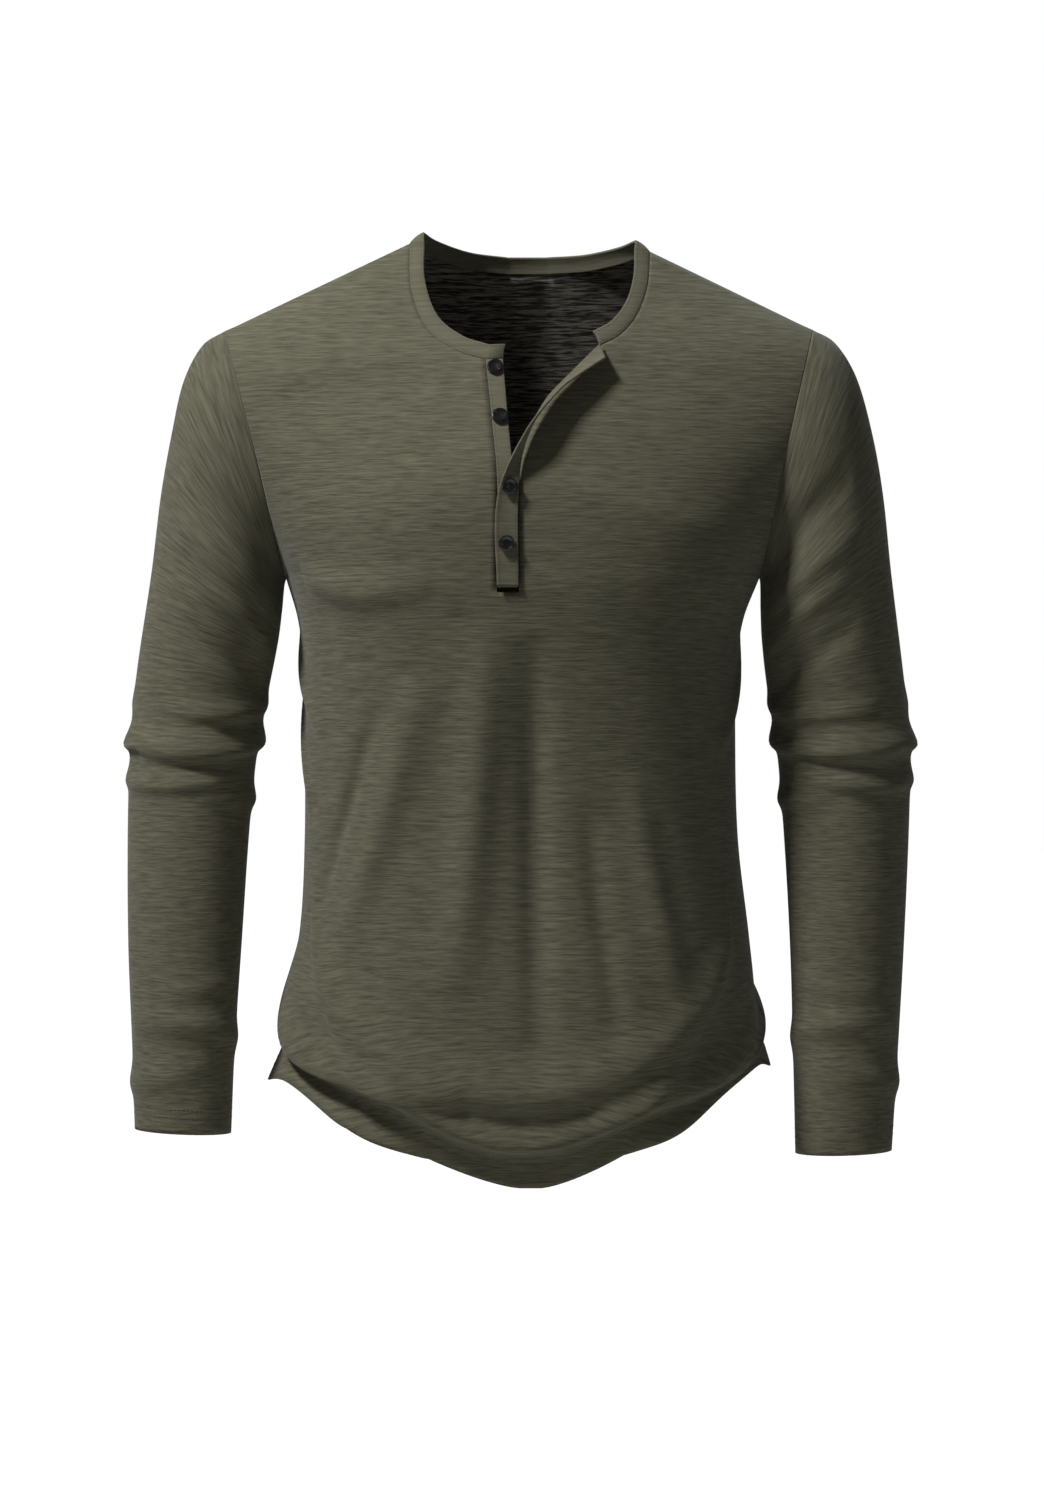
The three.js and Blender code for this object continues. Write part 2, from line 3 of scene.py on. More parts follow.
import bmesh
import bpy
import numpy as np
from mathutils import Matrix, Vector


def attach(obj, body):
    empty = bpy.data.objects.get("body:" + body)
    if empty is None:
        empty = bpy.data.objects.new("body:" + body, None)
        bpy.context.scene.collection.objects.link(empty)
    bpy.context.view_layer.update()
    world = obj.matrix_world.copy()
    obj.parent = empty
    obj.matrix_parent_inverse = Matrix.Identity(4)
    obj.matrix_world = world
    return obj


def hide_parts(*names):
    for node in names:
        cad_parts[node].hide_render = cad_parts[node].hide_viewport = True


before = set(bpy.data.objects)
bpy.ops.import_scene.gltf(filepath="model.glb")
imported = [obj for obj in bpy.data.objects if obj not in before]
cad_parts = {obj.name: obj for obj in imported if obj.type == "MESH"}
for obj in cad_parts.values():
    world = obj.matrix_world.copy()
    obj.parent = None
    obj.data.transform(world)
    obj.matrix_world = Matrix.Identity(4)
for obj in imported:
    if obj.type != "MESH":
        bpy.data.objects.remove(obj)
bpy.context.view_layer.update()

# Front panel: slub cotton jersey cut in one piece with a curved shirt-tail hem and a slit for the
# placket. It is sewn to the back at the shoulders and sides, and hangs in soft swags above the hem.
# Tables and heights are in millimetres, and MM turns them into metres.
MM = 0.001
CLOTH_WALL = 0.0011
UNDERARM_Z = -254
PLACKET_FOOT_Z = -270
SLIT_FOOT_X = -13
SLIT_TOP = 0.6
HEM_MIDDLE_X = 3
HEM_MIDDLE_Z = -699
HEM_CORNER_Z = {"right": -617, "left": -606}
HEM_CURVE = 1.38
CHEST_CURVE = 1.1
SIDE_SEAM_Y = 4
BODY_MIDDLE_X = -3
BODY_HALF_WIDTH = 172
BODY_HALF_DEPTH = 112
BODY_TABLE = [  # z, front, back, wearer's right side, wearer's left side
    (-700, -103, 104, -188, 178),
    (-640, -112, 112, -186, 176),
    (-600, -114, 112, -180, 172),
    (-560, -112, 108, -180, 171),
    (-520, -108, 102, -170, 167),
    (-450, -104, 94, -166, 159),
    (-380, -106, 93, -166, 157),
    (-320, -111, 99, -167, 158),
    (-285, -115, 104, -171, 163),
    (-254, -118, 108, -180, 175),
]
SLIT_RIGHT = [  # along, x, y, z, as in the slit and neck tables below
    (0, -21, -117, -270),
    (0.25, -21, -114, -192),
    (0.45, -25.5, -92, -140),
    (0.6, -30, -68, -97),
]
SLIT_LEFT = [
    (0, -5, -117, -270),
    (0.22, -5, -114, -194),
    (0.31, -1, -103, -164),
    (0.42, 14, -88, -131),
    (0.5, 32, -76, -110),
    (0.6, 54, -62, -86),
]
NECK_RIGHT = [
    (0.6, -30, -68, -97),
    (0.7, -52, -60, -89),
    (0.8, -73, -43, -71),
    (0.9, -85, -20, -39),
    (1, -87, 7, -2),
]
NECK_LEFT = [
    (0.6, 54, -62, -86),
    (0.7, 69, -53, -77),
    (0.8, 82, -38, -60),
    (0.9, 90, -17, -36),
    (1, 92.5, 6, -8),
]
SLEEVE_RIGHT = [  # along, inner x, inner z, outer x, outer z, middle y, depth
    (0, -180, -254, -226, -68, 6, 58),
    (0.05, -181, -257, -243, -79, 6, 60),
    (0.11, -181.5, -260, -257, -106, 5, 60),
    (0.18, -182, -266, -266, -146, 4, 58),
    (0.26, -183, -278, -274, -192, 3, 55),
    (0.35, -186, -302, -281, -250, 2, 52),
    (0.45, -193, -338, -292, -325, 1, 48),
    (0.52, -200, -374, -296, -372, 0, 46),
    (0.62, -206, -430, -298, -430, -4, 44),
    (0.78, -212, -525, -297, -525, -12, 40),
    (0.92, -217, -610, -293, -610, -19, 35),
    (1, -219, -667, -291, -664, -23, 32),
]
SLEEVE_LEFT = [
    (0, 175.5, -254, 215, -67, 6, 58),
    (0.05, 176, -257, 232, -77, 6, 60),
    (0.11, 176, -260, 248, -103, 5, 60),
    (0.18, 176, -266, 260, -146, 4, 58),
    (0.26, 176, -278, 268, -192, 3, 55),
    (0.35, 177, -302, 274, -250, 2, 52),
    (0.45, 181, -338, 283, -325, 1, 48),
    (0.52, 187, -374, 288, -374, 0, 46),
    (0.62, 192, -432, 287, -432, -4, 44),
    (0.78, 197, -530, 282, -530, -12, 40),
    (0.92, 199, -622, 276, -622, -19, 35),
    (1, 200, -682, 272, -680, -23, 32),
]
# Folds: from angle and height, to angle and height, sag, width, lift, lip (degrees and mm).
BODY_FOLDS = [
    (-140, -520, -14, -628, 12, 12, 11, 14),
    (-140, -566, -24, -668, 8, 12, 10, 13),
    (-110, -545, -30, -650, 4, 9, -6, 0),
    (-125, -598, -45, -655, 4, 9, 5, 6),
    (140, -510, 16, -640, 14, 12, 11, 13),
    (130, -556, 26, -664, 10, 12, 11, 14),
    (110, -536, 26, -650, 8, 9, -6, 0),
    (120, -590, 50, -650, 4, 9, 5, 6),
    (-66, -505, 62, -512, 118, 18, 9, 7),
    (-50, -575, 44, -590, 78, 11, 6, 5),
    (-34, -612, 34, -618, 44, 9, 4, 3),
    (-8, -290, -16, -560, 0, 15, 8, 0),
    (3, -300, 4, -620, 0, 11, -7, 0),
    (-24, -330, -48, -540, 0, 14, 6, 0),
    (-36, -350, -60, -500, 0, 9, -4, 0),
    (28, -400, 38, -580, 0, 12, 5, 0),
    (17, -420, 22, -600, 0, 9, -4, 0),
    (-60, -250, -20, -262, 12, 12, 4, 2),
    (-104, -290, -58, -370, 0, 9, 4, 2),
    (-100, -330, -70, -430, 0, 8, 3, 0),
    (104, -290, 60, -385, 0, 9, 4, 2),
    (196, -500, 110, -560, 30, 13, 9, 9),
    (-214, -550, -115, -600, 24, 13, 9, 9),
    (150, -570, 225, -560, 40, 13, 8, 9),
    (-205, -420, -145, -470, 20, 14, 6, 4),
    (150, -380, 215, -420, 24, 14, 6, 4),
    (168, -250, 172, -480, 0, 16, 5, 0),
    (-160, -270, -150, -460, 0, 14, -5, 0),
]
SLEEVE_FOLDS = [
    (60, -180, 178, -262, 0, 11, -5, 0),
    (50, -215, 170, -290, 0, 11, 5, 2),
    (66, -250, 176, -318, 0, 9, 4, 2),
    (70, -290, 185, -352, 0, 8, -4, 2),
    (-70, -366, 120, -374, 4, 8, 6, 5),
    (40, -384, 230, -362, 6, 8, 6, 5),
    (-20, -398, 150, -400, 8, 7, 4, 3),
    (60, -352, 200, -345, 6, 7, 4, 3),
    (100, -416, 250, -408, 6, 8, 3, 2),
    (20, -585, 200, -600, -8, 10, 4, 2),
    (-40, -625, 130, -612, 8, 10, 3, 2),
    (50, -560, 160, -548, 6, 8, 2, 1),
    (-100, -330, 10, -345, 6, 9, 3, 2),
    (-150, -470, -20, -500, 8, 12, 3, 1),
]
BODY_GIRTH_PER_DEGREE = 2.75


def column(table, at, place):
    """Smooth interpolation of one column of a table against its first column."""
    keys = np.array([row[0] for row in table], float)
    values = np.array([row[place] for row in table], float)
    i = int(np.clip(np.searchsorted(keys, at) - 1, 0, len(keys) - 2))

    def slope(j):
        low, high = max(j - 1, 0), min(j + 1, len(keys) - 1)
        return (values[high] - values[low]) / (keys[high] - keys[low])

    step = keys[i + 1] - keys[i]
    t = min(max((at - keys[i]) / step, 0), 1)
    rise = 3 * t**2 - 2 * t**3
    start = (t**3 - 2 * t**2 + t) * step * slope(i)
    end = (t**3 - t**2) * step * slope(i + 1)
    return (1 - rise) * values[i] + rise * values[i + 1] + start + end


def point_on(table, at):
    return np.array([column(table, at, place) for place in (1, 2, 3)])


def mix(a, b, t):
    return a + (b - a) * t


ARMHOLE_BOW = 3
BOW_FADE = 8


def sleeve_point(sleeve, along, angle):
    """A point of a sleeve, turned from its outer edge (0) through the front (90) to its inner."""
    inner_x, inner_z, outer_x, outer_z, y, depth = [column(sleeve, along, i) for i in range(1, 7)]
    turn = math.radians(angle)
    share = (1 + math.cos(turn)) / 2
    bow = ARMHOLE_BOW * math.sin(turn) ** 2 * max(0, 1 - along * BOW_FADE)
    x = mix(inner_x, outer_x, share) - math.copysign(bow, inner_x)
    return np.array([x, y - 2 + 4 * share - depth * math.sin(turn), mix(inner_z, outer_z, share)])


def normals_of(net, closed=False):
    """Unit normals of a net of points, by central differences."""
    if closed:
        across = np.roll(net, -1, axis=1) - np.roll(net, 1, axis=1)
    else:
        across = np.gradient(net, axis=1)
    along = np.gradient(net, axis=0)
    normal = np.cross(across, along)
    return normal / np.maximum(np.linalg.norm(normal, axis=2, keepdims=True), 1e-9)


def fold_net(net, normals, folds, angle, girth, fade=1.0):
    """Lifts the folds out of a net, and lets their crests sink over the cloth below."""
    z = net[:, :, 2]
    lift = np.zeros_like(z)
    drop = np.zeros_like(z)
    for start, start_z, end, end_z, sag, width, height, lip in folds:
        run = abs(end - start) * girth
        if abs(end_z - start_z) > 2 * run:
            t = (z - start_z) / (end_z - start_z)
            off = (angle - mix(start, end, t)) * girth / width
        else:
            t = (angle - start) / (end - start)
            crest = mix(start_z, end_z, t) - sag * 4 * t * (1 - t)
            off = (z - crest) / (width * math.hypot(run, end_z - start_z) / run)
        inside = (t > 0) & (t < 1)
        bump = np.where(inside, np.sin(np.pi * np.clip(t, 0, 1)) ** 0.6, 0) * np.exp(-off * off)
        lift += height * bump
        drop += lip * bump
    moved = net + normals * (lift * fade)[:, :, None]
    moved[:, :, 2] -= drop * fade
    return moved


def body_folded(net):
    """The body's folds, with angles counted from the front towards the wearer's left."""
    sideways = (net[:, :, 0] - BODY_MIDDLE_X) / BODY_HALF_WIDTH
    angle = np.degrees(np.arctan2(sideways, -net[:, :, 1] / BODY_HALF_DEPTH))
    normals = normals_of(net)
    first = fold_net(net, normals, BODY_FOLDS, angle, BODY_GIRTH_PER_DEGREE)
    around = np.where(angle > 0, angle - 360, angle + 360)
    second = fold_net(net, normals, BODY_FOLDS, around, BODY_GIRTH_PER_DEGREE)
    return first + second - net


FLATNESS = 0.86
SIDE_REACH = 90
NECK_REACH = 46
REACH_CURVE = 0.8


def section_row(centre, side, columns, reach, height_curve):
    """A flattened quarter round from the centre to the side, opening out above the underarm."""
    angle = np.linspace(0, math.radians(reach), columns + 1)
    across = (np.sin(angle) / math.sin(math.radians(reach))) ** FLATNESS
    back = ((1 - np.cos(angle)) / (1 - math.cos(math.radians(reach)))) ** (1 / FLATNESS)
    row = np.empty((columns + 1, 3))
    row[:, 0] = mix(centre[0], side[0], across)
    row[:, 1] = mix(centre[1], side[1], back)
    row[:, 2] = mix(centre[2], side[2], across**height_curve)
    return row


def half_panel(side, facing, columns, rows, yoke, centre_line, inner_edge):
    """Half a body panel, in rows from the hem to the underarm and up the yoke to the shoulder."""
    sleeve = SLEEVE_RIGHT if side == "right" else SLEEVE_LEFT
    hem_z = HEM_CORNER_Z[side]
    place = 3 if side == "right" else 4
    net = []
    for row in range(rows + yoke + 1):
        if row <= rows:
            up = row / rows
            z = mix(hem_z, UNDERARM_Z, up)
            outside = np.array([column(BODY_TABLE, z, place), SIDE_SEAM_Y, z])
            curve = mix(HEM_CURVE, CHEST_CURVE, up)
            net.append(section_row(centre_line(up, side), outside, columns, SIDE_REACH, curve))
        else:
            up = (row - rows) / yoke
            outside = sleeve_point(sleeve, 0, facing * 180 * (1 - up))
            reach = mix(SIDE_REACH, NECK_REACH, up**REACH_CURVE)
            net.append(section_row(inner_edge(up, side), outside, columns, reach, 1))
    return np.array(net)


def mesh_from_net(name, net, material, uv, closed=False, cells=None, wall=CLOTH_WALL):
    """A sheet of cloth from a net in millimetres, with a wall inwards and a UV map in metres."""
    rows, columns = net.shape[:2]
    faces = []
    for r in range(rows - 1):
        for c in range(columns if closed else columns - 1):
            if cells is None or cells(r, c):
                n = (c + 1) % columns
                low, high = r * columns, (r + 1) * columns
                faces.append((low + c, low + n, high + n, high + c))
    mesh = bpy.data.meshes.new(name)
    mesh.from_pydata((net.reshape(-1, 3) * MM).tolist(), [], faces)
    layer = mesh.uv_layers.new(name="UVMap")
    flat = uv.reshape(-1, 2) * MM
    for loop in mesh.loops:
        layer.data[loop.index].uv = flat[loop.vertex_index]
    mesh.materials.append(material)
    piece = bpy.data.objects.new(name, mesh)
    bpy.context.collection.objects.link(piece)
    bpy.context.view_layer.objects.active = piece
    for polygon in mesh.polygons:
        polygon.use_smooth = True
    solid = piece.modifiers.new("wall", "SOLIDIFY")
    solid.thickness = wall
    solid.offset = -1
    for o in bpy.context.selected_objects:
        o.select_set(False)
    piece.select_set(True)
    bpy.ops.object.modifier_apply(modifier=solid.name)
    return piece


def loose_removed(piece):
    """Deletes the points of the cells that the slit and the neckline leave out."""
    work = bmesh.new()
    work.from_mesh(piece.data)
    bmesh.ops.delete(work, geom=[v for v in work.verts if not v.link_faces], context="VERTS")
    work.to_mesh(piece.data)
    work.free()


def cloth_group():
    """Slub jersey: short uneven thick stretches of yarn along the courses, over a fine knit."""
    group = bpy.data.node_groups.new("slub_jersey", "ShaderNodeTree")
    face = group.interface
    face.new_socket(name="Dark", in_out="INPUT", socket_type="NodeSocketColor")
    face.new_socket(name="Light", in_out="INPUT", socket_type="NodeSocketColor")
    face.new_socket(name="Contrast", in_out="INPUT", socket_type="NodeSocketFloat")
    face.new_socket(name="Color", in_out="OUTPUT", socket_type="NodeSocketColor")
    face.new_socket(name="Height", in_out="OUTPUT", socket_type="NodeSocketFloat")
    nodes, links = group.nodes, group.links
    start, end = nodes.new("NodeGroupInput"), nodes.new("NodeGroupOutput")
    place = nodes.new("ShaderNodeUVMap")
    place.uv_map = "UVMap"

    def noise(scale, detail, seed):
        turn = nodes.new("ShaderNodeMapping")
        turn.inputs["Scale"].default_value = scale
        turn.inputs["Location"].default_value = (seed, seed * 2, 0)
        links.new(place.outputs["UV"], turn.inputs["Vector"])
        cloud = nodes.new("ShaderNodeTexNoise")
        cloud.inputs["Scale"].default_value = 1
        cloud.inputs["Detail"].default_value = detail
        links.new(turn.outputs["Vector"], cloud.inputs["Vector"])
        return cloud.outputs["Fac"]

    def sum_of(a, b, weight):
        node = nodes.new("ShaderNodeMath")
        node.operation = "MULTIPLY_ADD"
        node.inputs[1].default_value = weight
        links.new(b, node.inputs[0])
        links.new(a, node.inputs[2])
        return node.outputs[0]

    slub = noise((70, 900, 1), 3, 3.1)
    long_slub = noise((28, 520, 1), 2, 7.7)
    knit = noise((900, 1500, 1), 1, 1.3)
    streak = sum_of(slub, long_slub, 0.8)
    spread = nodes.new("ShaderNodeMapRange")
    spread.inputs["From Min"].default_value = 0.66
    spread.inputs["From Max"].default_value = 1.16
    links.new(streak, spread.inputs["Value"])
    centred = nodes.new("ShaderNodeMath")
    centred.operation = "SUBTRACT"
    centred.inputs[1].default_value = 0.5
    links.new(spread.outputs["Result"], centred.inputs[0])
    scaled = nodes.new("ShaderNodeMath")
    scaled.operation = "MULTIPLY_ADD"
    scaled.inputs[2].default_value = 0.5
    scaled.use_clamp = True
    links.new(centred.outputs[0], scaled.inputs[0])
    links.new(start.outputs["Contrast"], scaled.inputs[1])
    blend = nodes.new("ShaderNodeMix")
    blend.data_type = "RGBA"
    links.new(scaled.outputs[0], blend.inputs[0])
    links.new(start.outputs["Dark"], blend.inputs[6])
    links.new(start.outputs["Light"], blend.inputs[7])
    links.new(blend.outputs[2], end.inputs["Color"])
    links.new(sum_of(streak, knit, 0.6), end.inputs["Height"])
    return group


slub_jersey = cloth_group()


def cloth_material(name, dark, light, contrast, bump=0.35):
    """Matt jersey with a little sheen, streaked from its dark colour to its light one."""
    material = bpy.data.materials.new(name)
    material.use_nodes = True
    nodes, links = material.node_tree.nodes, material.node_tree.links
    shader = nodes["Principled BSDF"]
    shader.inputs["Roughness"].default_value = 0.88
    shader.inputs["Sheen Weight"].default_value = 0.12
    shader.inputs["Sheen Roughness"].default_value = 0.5
    shader.inputs["Specular IOR Level"].default_value = 0.25
    weave = nodes.new("ShaderNodeGroup")
    weave.node_tree = slub_jersey
    weave.inputs["Dark"].default_value = (*dark, 1)
    weave.inputs["Light"].default_value = (*light, 1)
    weave.inputs["Contrast"].default_value = contrast
    relief = nodes.new("ShaderNodeBump")
    relief.inputs["Strength"].default_value = bump
    relief.inputs["Distance"].default_value = 0.0006
    links.new(weave.outputs["Height"], relief.inputs["Height"])
    links.new(relief.outputs["Normal"], shader.inputs["Normal"])
    links.new(weave.outputs["Color"], shader.inputs["Base Color"])
    return material


outside_cloth = cloth_material("jersey_outside", (0.07, 0.066, 0.042), (0.15, 0.142, 0.094), 1.0)
inside_cloth = cloth_material("jersey_inside", (0.012, 0.011, 0.009), (0.2, 0.185, 0.15), 2.2)


def two_sided(piece, outer_faces):
    """The wrong side of the cloth, which Solidify lays after the outer faces, has its own look."""
    piece.data.materials.append(inside_cloth)
    for polygon in piece.data.polygons[outer_faces : 2 * outer_faces]:
        polygon.material_index = 1


def cell_count(net, cells):
    return sum(cells(r, c) for r in range(net.shape[0] - 1) for c in range(net.shape[1] - 1))


FRONT_COLUMNS, FRONT_ROWS, FRONT_YOKE = 84, 130, 60
FRONT_CELLS = 4
FRONT_STRIP_HALF = 8


def front_centre(up, side):
    z = mix(HEM_MIDDLE_Z, PLACKET_FOOT_Z, up)
    half = -FRONT_STRIP_HALF if side == "right" else FRONT_STRIP_HALF
    return np.array([mix(HEM_MIDDLE_X, SLIT_FOOT_X, up) + half, column(BODY_TABLE, z, 1), z])


def front_edge(up, side):
    slit, neck = (SLIT_RIGHT, NECK_RIGHT) if side == "right" else (SLIT_LEFT, NECK_LEFT)
    return point_on(slit if up <= SLIT_TOP else neck, up)


def panel_uv(net):
    """Across the cloth from its middle, and up the cloth, in mm."""
    steps = np.linalg.norm(np.diff(net, axis=1), axis=2)
    across = np.concatenate([np.zeros((len(net), 1)), np.cumsum(steps, axis=1)], axis=1)
    across -= across[:, across.shape[1] // 2][:, None]
    return np.stack([across, net[:, :, 2]], axis=2)


def joined(first, second, strip):
    """Two halves with a strip of so many cells between their inner columns."""
    shares = np.linspace(0, 1, strip + 1)[1:-1]
    left, right = first[:, ::-1], second
    middle = np.stack([mix(left[:, -1], right[:, 0], s) for s in shares], axis=1)
    return np.concatenate([left, middle, right], axis=1)


front_args = (1, FRONT_COLUMNS, FRONT_ROWS, FRONT_YOKE, front_centre, front_edge)
front_base = joined(half_panel("right", *front_args), half_panel("left", *front_args), FRONT_CELLS)


def in_front(r, c):
    return r < FRONT_ROWS or not FRONT_COLUMNS <= c < FRONT_COLUMNS + FRONT_CELLS


front_net = body_folded(front_base)
front = mesh_from_net("front_cloth", front_net, outside_cloth, panel_uv(front_base), cells=in_front)
two_sided(front, cell_count(front_net, in_front))
loose_removed(front)
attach(front, "root")
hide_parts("front")

# Back panel: the same jersey in one piece, cut higher at the neck and with the same curved hem.
# Its wrong side, with stronger dark and taupe streaks, shows through the neck.
BACK_CENTRE = [(0, -3, 108, -254), (0.25, -2, 118, -180), (0.5, 0, 102, -92), (0.7, 1, 69, -17)]
BACK_NECK_RIGHT = [(0.7, -14, 69, -17), (0.8, -46, 59, -14), (0.9, -74, 37, -7), (1, -87, 7, -2)]
BACK_NECK_LEFT = [(0.7, 16, 69, -17), (0.8, 48, 58, -16), (0.9, 77, 35, -12), (1, 92.5, 6, -8)]
BACK_COLUMNS, BACK_ROWS, BACK_YOKE, BACK_CELLS = 60, 110, 60, 8
BACK_HEM_Z = -704
BACK_STRIP_HALF = 15
BACK_NECK_START = 0.7


def back_centre(up, side):
    z = mix(BACK_HEM_Z, UNDERARM_Z, up)
    half = -BACK_STRIP_HALF if side == "right" else BACK_STRIP_HALF
    return np.array([BODY_MIDDLE_X + half, column(BODY_TABLE, z, 2), z])


def back_edge(up, side):
    if up >= BACK_NECK_START:
        return point_on(BACK_NECK_RIGHT if side == "right" else BACK_NECK_LEFT, up)
    half = -BACK_STRIP_HALF if side == "right" else BACK_STRIP_HALF
    return point_on(BACK_CENTRE, up) + np.array([half, 0, 0])


def in_back(r, c):
    below_neck = r < BACK_ROWS + BACK_NECK_START * BACK_YOKE
    return below_neck or not BACK_COLUMNS <= c < BACK_COLUMNS + BACK_CELLS


back_args = (-1, BACK_COLUMNS, BACK_ROWS, BACK_YOKE, back_centre, back_edge)
back_base = joined(half_panel("left", *back_args), half_panel("right", *back_args), BACK_CELLS)
back_net = body_folded(back_base)
back = mesh_from_net("back_cloth", back_net, outside_cloth, panel_uv(back_base), cells=in_back)
two_sided(back, cell_count(back_net, in_back))
loose_removed(back)
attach(back, "root")
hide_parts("back")

# Sleeves: one piece each, set into the armhole and closed by a seam under the arm. They crease at
# the underarm and bunch at the elbow.
SLEEVE_ROWS, SLEEVE_AROUND = 190, 100
SLEEVE_GIRTH_PER_DEGREE = 0.85
SLEEVE_CLOTH_WIDTH = 340
WRAP_ANGLE = 250
FOLDS_START, FOLDS_GROW = 0.02, 0.18
sleeve_nets = {}
for side, table in (("right", SLEEVE_RIGHT), ("left", SLEEVE_LEFT)):
    turns = [360 * c / SLEEVE_AROUND for c in range(SLEEVE_AROUND)]
    if side == "right":
        turns = turns[::-1]
    alongs = [r / SLEEVE_ROWS for r in range(SLEEVE_ROWS + 1)]
    base = np.array([[sleeve_point(table, along, a) for a in turns] for along in alongs])
    middle = base.mean(axis=1, keepdims=True)
    outward = base - middle
    outward /= np.linalg.norm(outward, axis=2, keepdims=True)
    wrapped = np.array([a - 360 if a > WRAP_ANGLE else a for a in turns])
    angles = wrapped[None, :] * np.ones((SLEEVE_ROWS + 1, 1))
    share = np.clip((np.array(alongs) - FOLDS_START) / FOLDS_GROW, 0, 1)[:, None]
    fade = share**2 * (3 - 2 * share)
    net = fold_net(base, outward, SLEEVE_FOLDS, angles, SLEEVE_GIRTH_PER_DEGREE, fade)
    ring = np.linalg.norm(np.diff(middle[:, 0], axis=0), axis=1)
    down = np.concatenate([[0], np.cumsum(ring)])
    across = np.arange(SLEEVE_AROUND) / SLEEVE_AROUND * SLEEVE_CLOTH_WIDTH
    uv = np.stack(np.broadcast_arrays(across[None, :], -down[:, None]), axis=2)
    sleeve = mesh_from_net(f"sleeve_{side}_cloth", net, outside_cloth, uv, closed=True)
    two_sided(sleeve, SLEEVE_ROWS * SLEEVE_AROUND)
    sleeve_nets[side] = net
    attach(sleeve, "root")
    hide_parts(f"sleeve_{side}")

# Neckband: a folded strip of the jersey sewn round the neckline, about 13 mm wide when finished.
# It runs from the button side's front end, round the back, to the turned-out end.
BAND_WIDTH = 13
BAND_WALL = 0.0018
BAND_ROWS = 13
BAND_SEAM_LAP = 0.5
BAND_ROUND = 0.9
BAND_CLEAR = 0.3
BAND_LEAN, BAND_LEAN_FRONT, BAND_LEAN_BACK = 0.82, 0.5, 0.25
NECK_START = 0.6001  # just past the slit
BAND_DARK, BAND_LIGHT = (0.085, 0.08, 0.052), (0.15, 0.142, 0.096)
band_cloth = cloth_material("band_jersey", BAND_DARK, BAND_LIGHT, 0.7, bump=0.25)
UNDER_FREE = [  # along, x, y, z of the button strip's free edge
    (0, -6, -117, -270),
    (0.25, -9, -114.5, -192),
    (0.45, -13.5, -93, -140),
    (0.6, -17, -70, -97),
]
neck_shares = np.linspace(NECK_START, 1, 41)
back_shares = np.linspace(BACK_NECK_START, 1, 31)[:-1]
band_path = [point_on(UNDER_FREE, SLIT_TOP)]
band_path += [front_edge(up, "right") for up in neck_shares]
band_path += [back_edge(up, "right") for up in back_shares[::-1]]
band_path += [back_edge(up, "left") for up in back_shares]
band_path += [front_edge(up, "left") for up in neck_shares[::-1]]
band_path = np.array(band_path[::-1])


def outward_from_neck(point):
    return np.array([point[0], point[1], 0]) / math.hypot(point[0], point[1])


def band_direction(point):
    """Which way the band rises from its seam: it leans in, least at the back."""
    outward = outward_from_neck(point)
    target = BAND_LEAN_FRONT if outward[1] < 0 else BAND_LEAN_BACK
    lean = mix(BAND_LEAN, target, abs(outward[1]))
    return outward * -lean + np.array([0, 0, math.sqrt(1 - lean * lean)])


band_net = []
for rise in np.linspace(-BAND_SEAM_LAP, BAND_WIDTH, BAND_ROWS):
    along_width = (rise + BAND_SEAM_LAP) / (BAND_WIDTH + BAND_SEAM_LAP)
    round_out = BAND_ROUND * math.sin(math.pi * along_width)
    row = []
    for point in band_path:
        direction = band_direction(point)
        face = outward_from_neck(point)
        face = face - direction * face.dot(direction)
        face = face / np.linalg.norm(face)
        row.append(point + direction * rise + face * (round_out + BAND_CLEAR))
    band_net.append(row)
band_net = np.array(band_net)
band = mesh_from_net("neckband_cloth", band_net, band_cloth, panel_uv(band_net), wall=BAND_WALL)
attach(band, "root")
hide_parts("neckband")

# Placket: two faced strips of the jersey. The button side lies under; the buttonhole side laps
# over it below, and above its upper half is turned out like a lapel.
STRIP_ROWS, STRIP_COLUMNS = 120, 16
STRIP_WALL = 0.0014
STRIP_FOOT = 0.012
SEAM_CLEAR = 0.02
UNDER_LIFT, OVER_LIFT = 0.2, 3
OVER_BOW = -3
OVER_FREE = [  # along, x, y, z of the buttonhole strip's free edge
    (0, -21, -117.5, -270),
    (0.2, -20, -117, -199),
    (0.31, 1, -115, -154),
    (0.42, 24, -98, -124),
    (0.5, 37, -90, -113),
    (0.6, 58, -76, -98),
]


def strip_net(seam_edge, free_edge, lift, bow):
    """A strip between its seam and its free edge, lifted off the panel and bowed out or in."""
    net = []
    for row in range(STRIP_ROWS + 1):
        along = mix(STRIP_FOOT, SLIT_TOP, row / STRIP_ROWS)
        seam, free = point_on(seam_edge, along), point_on(free_edge, along)
        points = []
        for share in np.linspace(SEAM_CLEAR, 1, STRIP_COLUMNS + 1):
            point = mix(seam, free, share)
            point[1] -= lift + bow * along * 4 * share * (1 - share)
            points.append(point)
        net.append(points)
    return np.array(net)


under_net = strip_net(SLIT_RIGHT, UNDER_FREE, UNDER_LIFT, 0)
over_net = strip_net(SLIT_LEFT, OVER_FREE, OVER_LIFT, OVER_BOW)[:, ::-1]
for name, net, node in (("under", under_net, "placket_under"), ("over", over_net, "placket_over")):
    strip = mesh_from_net(f"placket_{name}_cloth", net, band_cloth, panel_uv(net), wall=STRIP_WALL)
    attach(strip, "root")
    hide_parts(node)

